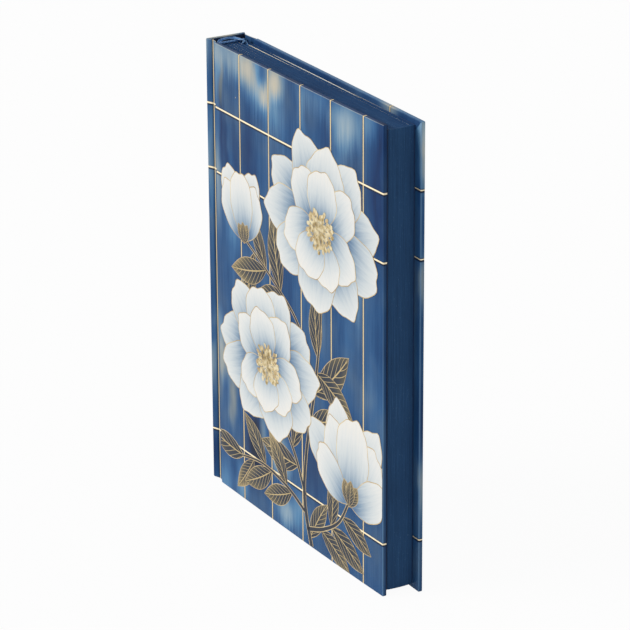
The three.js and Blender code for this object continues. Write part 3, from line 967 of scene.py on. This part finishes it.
def marker_leaf_rise(x):
    """How far the leaf against the ribbon is drawn up at the head, most of all beside the ribbon."""
    dip = 0.7 * math.exp(-((x - 23) / 6) ** 2)
    return 0.36 * max(0.0, 1 - (x - 8) / 52) * (1 - dip)


def last_leaf_rise(x):
    """How far the block's last leaf stands up at the head, in the middle of the page."""
    return 0.45 * max(0.0, 1 - ((x - 70) / 42) ** 4)


for index in range(signatures):
    behind_marker = index == signatures - 1
    radius = (block_y(block_x, 1) - block_y(block_x, 0)) / signatures / 2 - signature_gap / 2
    bm = bmesh.new()
    last = bm.verts.layers.float.new("last_bundle")
    # Until the block is bent, y holds a leaf's share of its thickness
    for bundle in range(bundles):
        low, high = (index + bundle / bundles) / signatures, (index + (bundle + 1) / bundles) / signatures
        middle = (bundle + 0.5) / bundles - 0.5
        fold_x = block_x + radius - math.sqrt(radius ** 2 - (middle * 2 * radius) ** 2)
        outer = bundle in (0, bundles - 1)
        far = fore_x - bulge * (low + high - 1) ** 2 + (-uneven if outer else jitter.uniform(-uneven, 0.02))
        top = leaf_top + (-uneven if outer else jitter.uniform(-uneven, 0.0))
        for vert in add_box(bm, (fold_x, low, leaf_bottom), (far, high, top)):
            vert[last] = float(bundle == bundles - 1)
    cream_faces = [index / signatures, (index + 1) / signatures]
    if behind_marker:
        cream_faces.append(1 - 1 / signatures / bundles)
    for face in bm.faces:
        at = face.calc_center_median().y
        flat = abs(face.normal.y) > 0.5
        face.material_index = 0 if flat and min(abs(at - y) for y in cream_faces) < 1e-4 else 1
    front.cut(bm)
    for vert in bm.verts:
        x, share = vert.co.x, vert.co.y * signatures - index
        pinch = signature_gap * (0.5 - share) * max(0.0, 1 - (x - block_x) / pinched_for)
        vert.co.y = block_y(x, vert.co.y) + pinch + (marker_room(x) if behind_marker else 0)
        if behind_marker and vert.co.z > head / 2 and x > fold_end:
            if share < 1.5 / bundles:
                vert.co.z += marker_leaf_rise(x)
            elif vert[last] > 0.5:
                vert.co.z += last_leaf_rise(x)
    bm.verts.layers.float.remove(last)
    finish_piece(
        f"sewn_leaves_{index + 1:02d}", bm, f"section_{index + 1:02d}", [page_face, dyed_edge],
        [f"signature_{index + 1:02d}"], smooth=False,
    )


# Head and tail bands
# A bead of light blue cotton wound over a cord, glued to the block's spine by a woven skirt. It
# hides the glued folds of the signatures at the head and at the tail.

# Mercerised cotton: glossy thread, with painted light on each turn and painted shade between the turns
band_thread, tree, shader = start_material("mercerised_cotton_thread", Roughness=0.55, Sheen_Weight=0.3)
place = add_node("TexCoord").outputs["Object"]
wound = add_node("TexWave", {"bands_direction": "Y"}, Vector=place, Scale=420, Distortion=1.0, Detail=1)
colour_by(wound.outputs["Fac"], [(0.1, "2C5C9C"), (0.5, "4F8ACB"), (0.9, "86BAF0")])

skirt_x, bead_radius, skirt_depth, skirt_thickness = 4.75, 0.6, 9.0, 0.3
band_low, band_high = 3.15, 17.25
turns, dip = 35, 0.86
for name, edge, sign in (("head_band", leaf_top, 1), ("tail_band", leaf_bottom, -1)):
    centre = Vector((skirt_x + bead_radius, (band_low + band_high) / 2, edge + sign * bead_radius))
    bm = bmesh.new()
    bmesh.ops.create_cone(
        bm, cap_ends=True, segments=16, radius1=bead_radius, radius2=bead_radius, depth=band_high - band_low,
        matrix=Matrix.Translation(centre) @ Matrix.Rotation(math.pi / 2, 4, "X"),
    )
    long_edges = [e for e in bm.edges if abs(e.verts[0].co.y - e.verts[1].co.y) > 1]
    bmesh.ops.subdivide_edges(bm, edges=long_edges, cuts=2 * turns - 1, use_grid_fill=False)
    # Each turn of thread stands up beside a dip
    for vert in bm.verts:
        ring = round((vert.co.y - band_low) / (band_high - band_low) * 2 * turns)
        pull = dip if ring % 2 else 1.0
        vert.co.x = centre.x + (vert.co.x - centre.x) * pull
        vert.co.z = centre.z + (vert.co.z - centre.z) * pull
    low_z, high_z = sorted((edge + sign * bead_radius, edge - sign * skirt_depth))
    add_box(bm, (skirt_x, band_low, low_z), (skirt_x + skirt_thickness, band_high, high_z))
    finish_piece(f"{name}_wound", bm, "spine", [band_thread], [name], angle=60)


# Ribbon marker
# A 5 mm satin ribbon, glued to the spine lining, pulled over the head band and laid between the
# last two signatures. Where it crosses the head band it is pleated and crumpled.

# Woven satin: long floats of blue thread; the pale and dark stripes along its length are painted sheen
satin, tree, shader = start_material("woven_satin_ribbon", Roughness=0.36, Sheen_Weight=0.3)
weave = add_node("UVMap", {"uv_map": "weave"}).outputs["UV"]
ribs_and_painted_sheen = add_node("TexWave", {"bands_direction": "X"}, Vector=weave, Scale=2.2, Distortion=0.6).outputs["Fac"]
colour_by(ribs_and_painted_sheen, [(0.0, "2F6CB2"), (0.6, "4C90D4"), (1.0, "94C6F0")])
emboss(ribs_and_painted_sheen, 0.15)

ribbon_width, ribbon_thickness = 5.0, 0.14
marker_x, marker_y = 9.45, 15.64
# (x, y, z, the direction of its width, share of its width that is left, pleat depth)
stations = [
    (4.5, 5.65, 186.5, 0, 1, 0, 1, 0), (4.5, 5.65, 204, 0, 1, 0, 1, 0),
    (4.3, 5.4, 212.0, 0.05, 1, 0, 0.8, 0.05),
    (4.1, 5.0, 213.9, 0.3, 1, -0.2, 0.42, 0.12), (4.0, 5.7, 214.9, 0.5, 0.5, -0.7, 0.26, 0.18),
    (3.95, 7.2, 215.35, 0.6, 0, -0.8, 0.20, 0.20), (3.9, 9.2, 215.5, 0.6, 0, -0.8, 0.20, 0.20),
    (4.1, 11.0, 215.35, 0.65, 0, -0.75, 0.20, 0.20), (4.8, 12.6, 215.35, 0.8, 0, -0.6, 0.24, 0.18),
    (6.2, 13.9, 215.15, 0.95, 0, -0.3, 0.34, 0.14), (7.8, 14.9, 214.7, 1, 0, -0.1, 0.55, 0.08),
    (9.0, 15.45, 213.9, 1, 0, 0, 0.8, 0.03), (marker_x, marker_y, 212.6, 1, 0, 0, 1, 0.01),
]
# From there it lies flat between the pages
stations += [(marker_x, marker_y, z, 1, 0, 0, 1, 0) for z in (203, 150, 80, 12)]
path = smooth_path(stations, 6)
bm = bmesh.new()
columns = 12
cells = add_sheet(bm, columns, len(path) - 1)
travelled = run_along([point[:3] for point in path])
lay_on_map(bm, "weave", lambda face, vert: (
    (cells[vert][0] / columns - 0.5) * ribbon_width, travelled[cells[vert][1]]
))
for vert, (column, row) in cells.items():
    x, y, z, *width_way, left, pleat = path[row]
    share = column / columns - 0.5
    forwards = heading_at(path, row, 3)
    width_way = Vector(width_way).normalized()
    width_way = (width_way - forwards * width_way.dot(forwards)).normalized()
    out = forwards.cross(width_way)
    fold = math.sin(share * math.tau * 1.5 + row * 0.35) + 0.35 * math.sin(share * 17 + row * 0.8)
    vert.co = Vector((x, y, z)) + width_way * share * ribbon_width * left + out * pleat * fold
piece = finish_piece("ribbon_marker", bm, None, [satin], ["ribbon_anchor", "ribbon_tail"], angle=80)
thicken(piece, ribbon_thickness, 0.0)
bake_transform(piece, "spine", "section_07", start=(-0.072, -0.0042, 0.2), end=(-0.072, 0.0045, 0.2))


# Table, backdrop and light
# A plain pale table under soft studio light: an even sky and one broad lamp from the front left.
# Both show white to the camera, and the table keeps the book's soft shadow.

# Matt white studio paper: no gloss, so only the shadow marks it
white_table, tree, shader = start_material(
    "white_studio_paper", Roughness=0.9, Base_Color=(0.95, 0.95, 0.95, 1)
)


def seen_rays():
    """One for a ray from the camera or by way of a gloss or a clear thing, so that white is seen."""
    rays = add_node("LightPath").outputs
    return gather("MAXIMUM", rays["Is Camera Ray"], rays["Is Glossy Ray"], rays["Is Transmission Ray"])


glow = add_node("Emission", Color=(1, 1, 1, 1), Strength=1.0)
whitened = gather("MULTIPLY", seen_rays(), 0.95)
mixed = add_node("MixShader", i0=whitened, i1=shader.outputs["BSDF"], i2=glow.outputs["Emission"])
tree.links.new(mixed.outputs["Shader"], tree.nodes["Material Output"].inputs["Surface"])

table_reach, table_gap = 4000, 0.1
bm = bmesh.new()
bmesh.ops.create_grid(
    bm, x_segments=1, y_segments=1, size=table_reach, matrix=Matrix.Translation((0, 0, -table_gap))
)
table = finish_piece("table", bm, None, [white_table], smooth=False)

sky_strength, lamp_strength, lamp_width = 0.46, 1.7, math.radians(35)
towards_lamp = Vector((-0.35, -0.85, 0.38))
world = bpy.data.worlds.new("studio")
world.use_nodes = True
scene.world = world
tree = world.node_tree
sky = tree.nodes["Background"]
sky.inputs["Color"].default_value = (1, 1, 1, 1)
strength = add_node("MapRange", Value=seen_rays(), To_Min=sky_strength, To_Max=1.0).outputs[0]
tree.links.new(strength, sky.inputs["Strength"])

lamp_data = bpy.data.lights.new("key_lamp", "SUN")
lamp_data.energy = lamp_strength
lamp_data.angle = lamp_width
lamp = bpy.data.objects.new("key_lamp", lamp_data)
scene.collection.objects.link(lamp)
lamp.rotation_mode = "QUATERNION"
lamp.rotation_quaternion = towards_lamp.to_track_quat("Z", "Y")

scene.view_settings.view_transform = "Standard"
